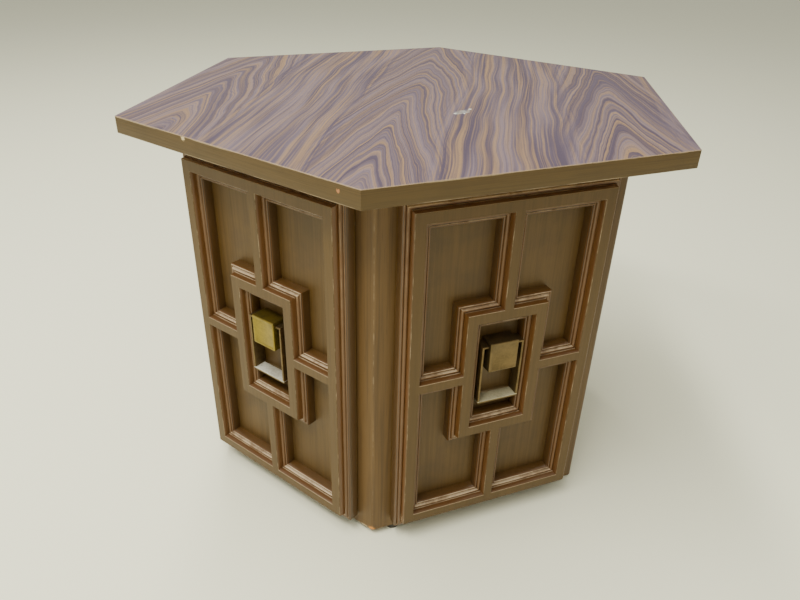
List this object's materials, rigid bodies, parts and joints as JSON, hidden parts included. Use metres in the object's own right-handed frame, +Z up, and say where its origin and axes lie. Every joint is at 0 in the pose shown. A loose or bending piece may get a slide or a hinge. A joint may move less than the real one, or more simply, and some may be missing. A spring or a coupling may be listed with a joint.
{
  "type": "cabinet end table",
  "caption": "Hexagonal storage end table with an overhanging laminate top, a closed cabinet and moulded hinged doors with swinging ring pulls.",
  "frame": {"origin": "centre of the footprint on the floor, under the glides", "axes": "+Z up; -Y towards the front corner between the two doors; +X to the right seen from the front"},
  "size_m": [0.6166, 0.712, 0.476],
  "materials": {
    "top_laminate": "satin printed wood grain",
    "edge_band": "satin",
    "particle_board": "raw",
    "case_veneer": "satin",
    "door_board": "satin",
    "door_moulding": "satin moulded wood grain",
    "antique_brass": "aged, brushed",
    "dark_bronze": "aged dark bronze",
    "hinge_bronze": "dark bronze",
    "catch_plastic": "matte",
    "bumper_rubber": "matte",
    "glide_plastic": "matte",
    "steel": "zinc plated"
  },
  "bodies": {
    "case": {"top_core": "particle_board", "top_laminate": "top_laminate", "top_edge_bands": "edge_band", "side_panel_front_left": "case_veneer", "side_panel_front_right": "case_veneer", "side_panel_right": "case_veneer", "side_panel_back_right": "case_veneer", "side_panel_back_left": "case_veneer", "side_panel_left": "case_veneer", "bottom_board": "particle_board", "upper_corner_blocks": "particle_board", "lower_corner_blocks": "particle_board", "top_screws": "steel", "glides": "glide_plastic", "glide_nails": "steel", "left_lower_hinge_case_leaf": "hinge_bronze", "left_lower_hinge_pin": "hinge_bronze", "left_upper_hinge_case_leaf": "hinge_bronze", "left_upper_hinge_pin": "hinge_bronze", "left_hinge_case_screws": "steel", "left_magnetic_catch": "catch_plastic", "left_catch_screws": "steel", "right_lower_hinge_case_leaf": "hinge_bronze", "right_lower_hinge_pin": "hinge_bronze", "right_upper_hinge_case_leaf": "hinge_bronze", "right_upper_hinge_pin": "hinge_bronze", "right_hinge_case_screws": "steel", "right_magnetic_catch": "catch_plastic", "right_catch_screws": "steel"},
    "left_door": {"left_door_board": "door_board", "left_door_front": "door_moulding", "left_front_screws": "steel", "left_pull_screws": "steel", "left_pull_block": "antique_brass", "left_lower_hinge_door_leaf": "hinge_bronze", "left_upper_hinge_door_leaf": "hinge_bronze", "left_hinge_door_screws": "steel", "left_strike_plate": "steel", "left_strike_screw": "steel", "left_door_bumpers": "bumper_rubber"},
    "left_ring": {"left_pull_ring": "dark_bronze"},
    "right_door": {"right_door_board": "door_board", "right_door_front": "door_moulding", "right_front_screws": "steel", "right_pull_screws": "steel", "right_pull_block": "antique_brass", "right_lower_hinge_door_leaf": "hinge_bronze", "right_upper_hinge_door_leaf": "hinge_bronze", "right_hinge_door_screws": "steel", "right_strike_plate": "steel", "right_strike_screw": "steel", "right_door_bumpers": "bumper_rubber"},
    "right_ring": {"right_pull_ring": "dark_bronze"}
  },
  "joints": [
    {"name": "left_door_hinge", "type": "hinge", "parent": "case", "child": "left_door", "pos_m": [-0.236, -0.15756, 0.233], "axis": [0, 0, -1], "range_deg": [0, 110]},
    {"name": "left_ring_swing", "type": "hinge", "parent": "left_door", "child": "left_ring", "pos_m": [-0.13257, -0.22962, 0.26525], "axis": [-0.866, 0.5, 0], "range_deg": [0, 90]},
    {"name": "right_door_hinge", "type": "hinge", "parent": "case", "child": "right_door", "pos_m": [0.236, -0.15756, 0.233], "axis": [0, 0, 1], "range_deg": [0, 110]},
    {"name": "right_ring_swing", "type": "hinge", "parent": "right_door", "child": "right_ring", "pos_m": [0.13257, -0.22962, 0.26525], "axis": [-0.866, -0.5, 0], "range_deg": [0, 90]}
  ]
}
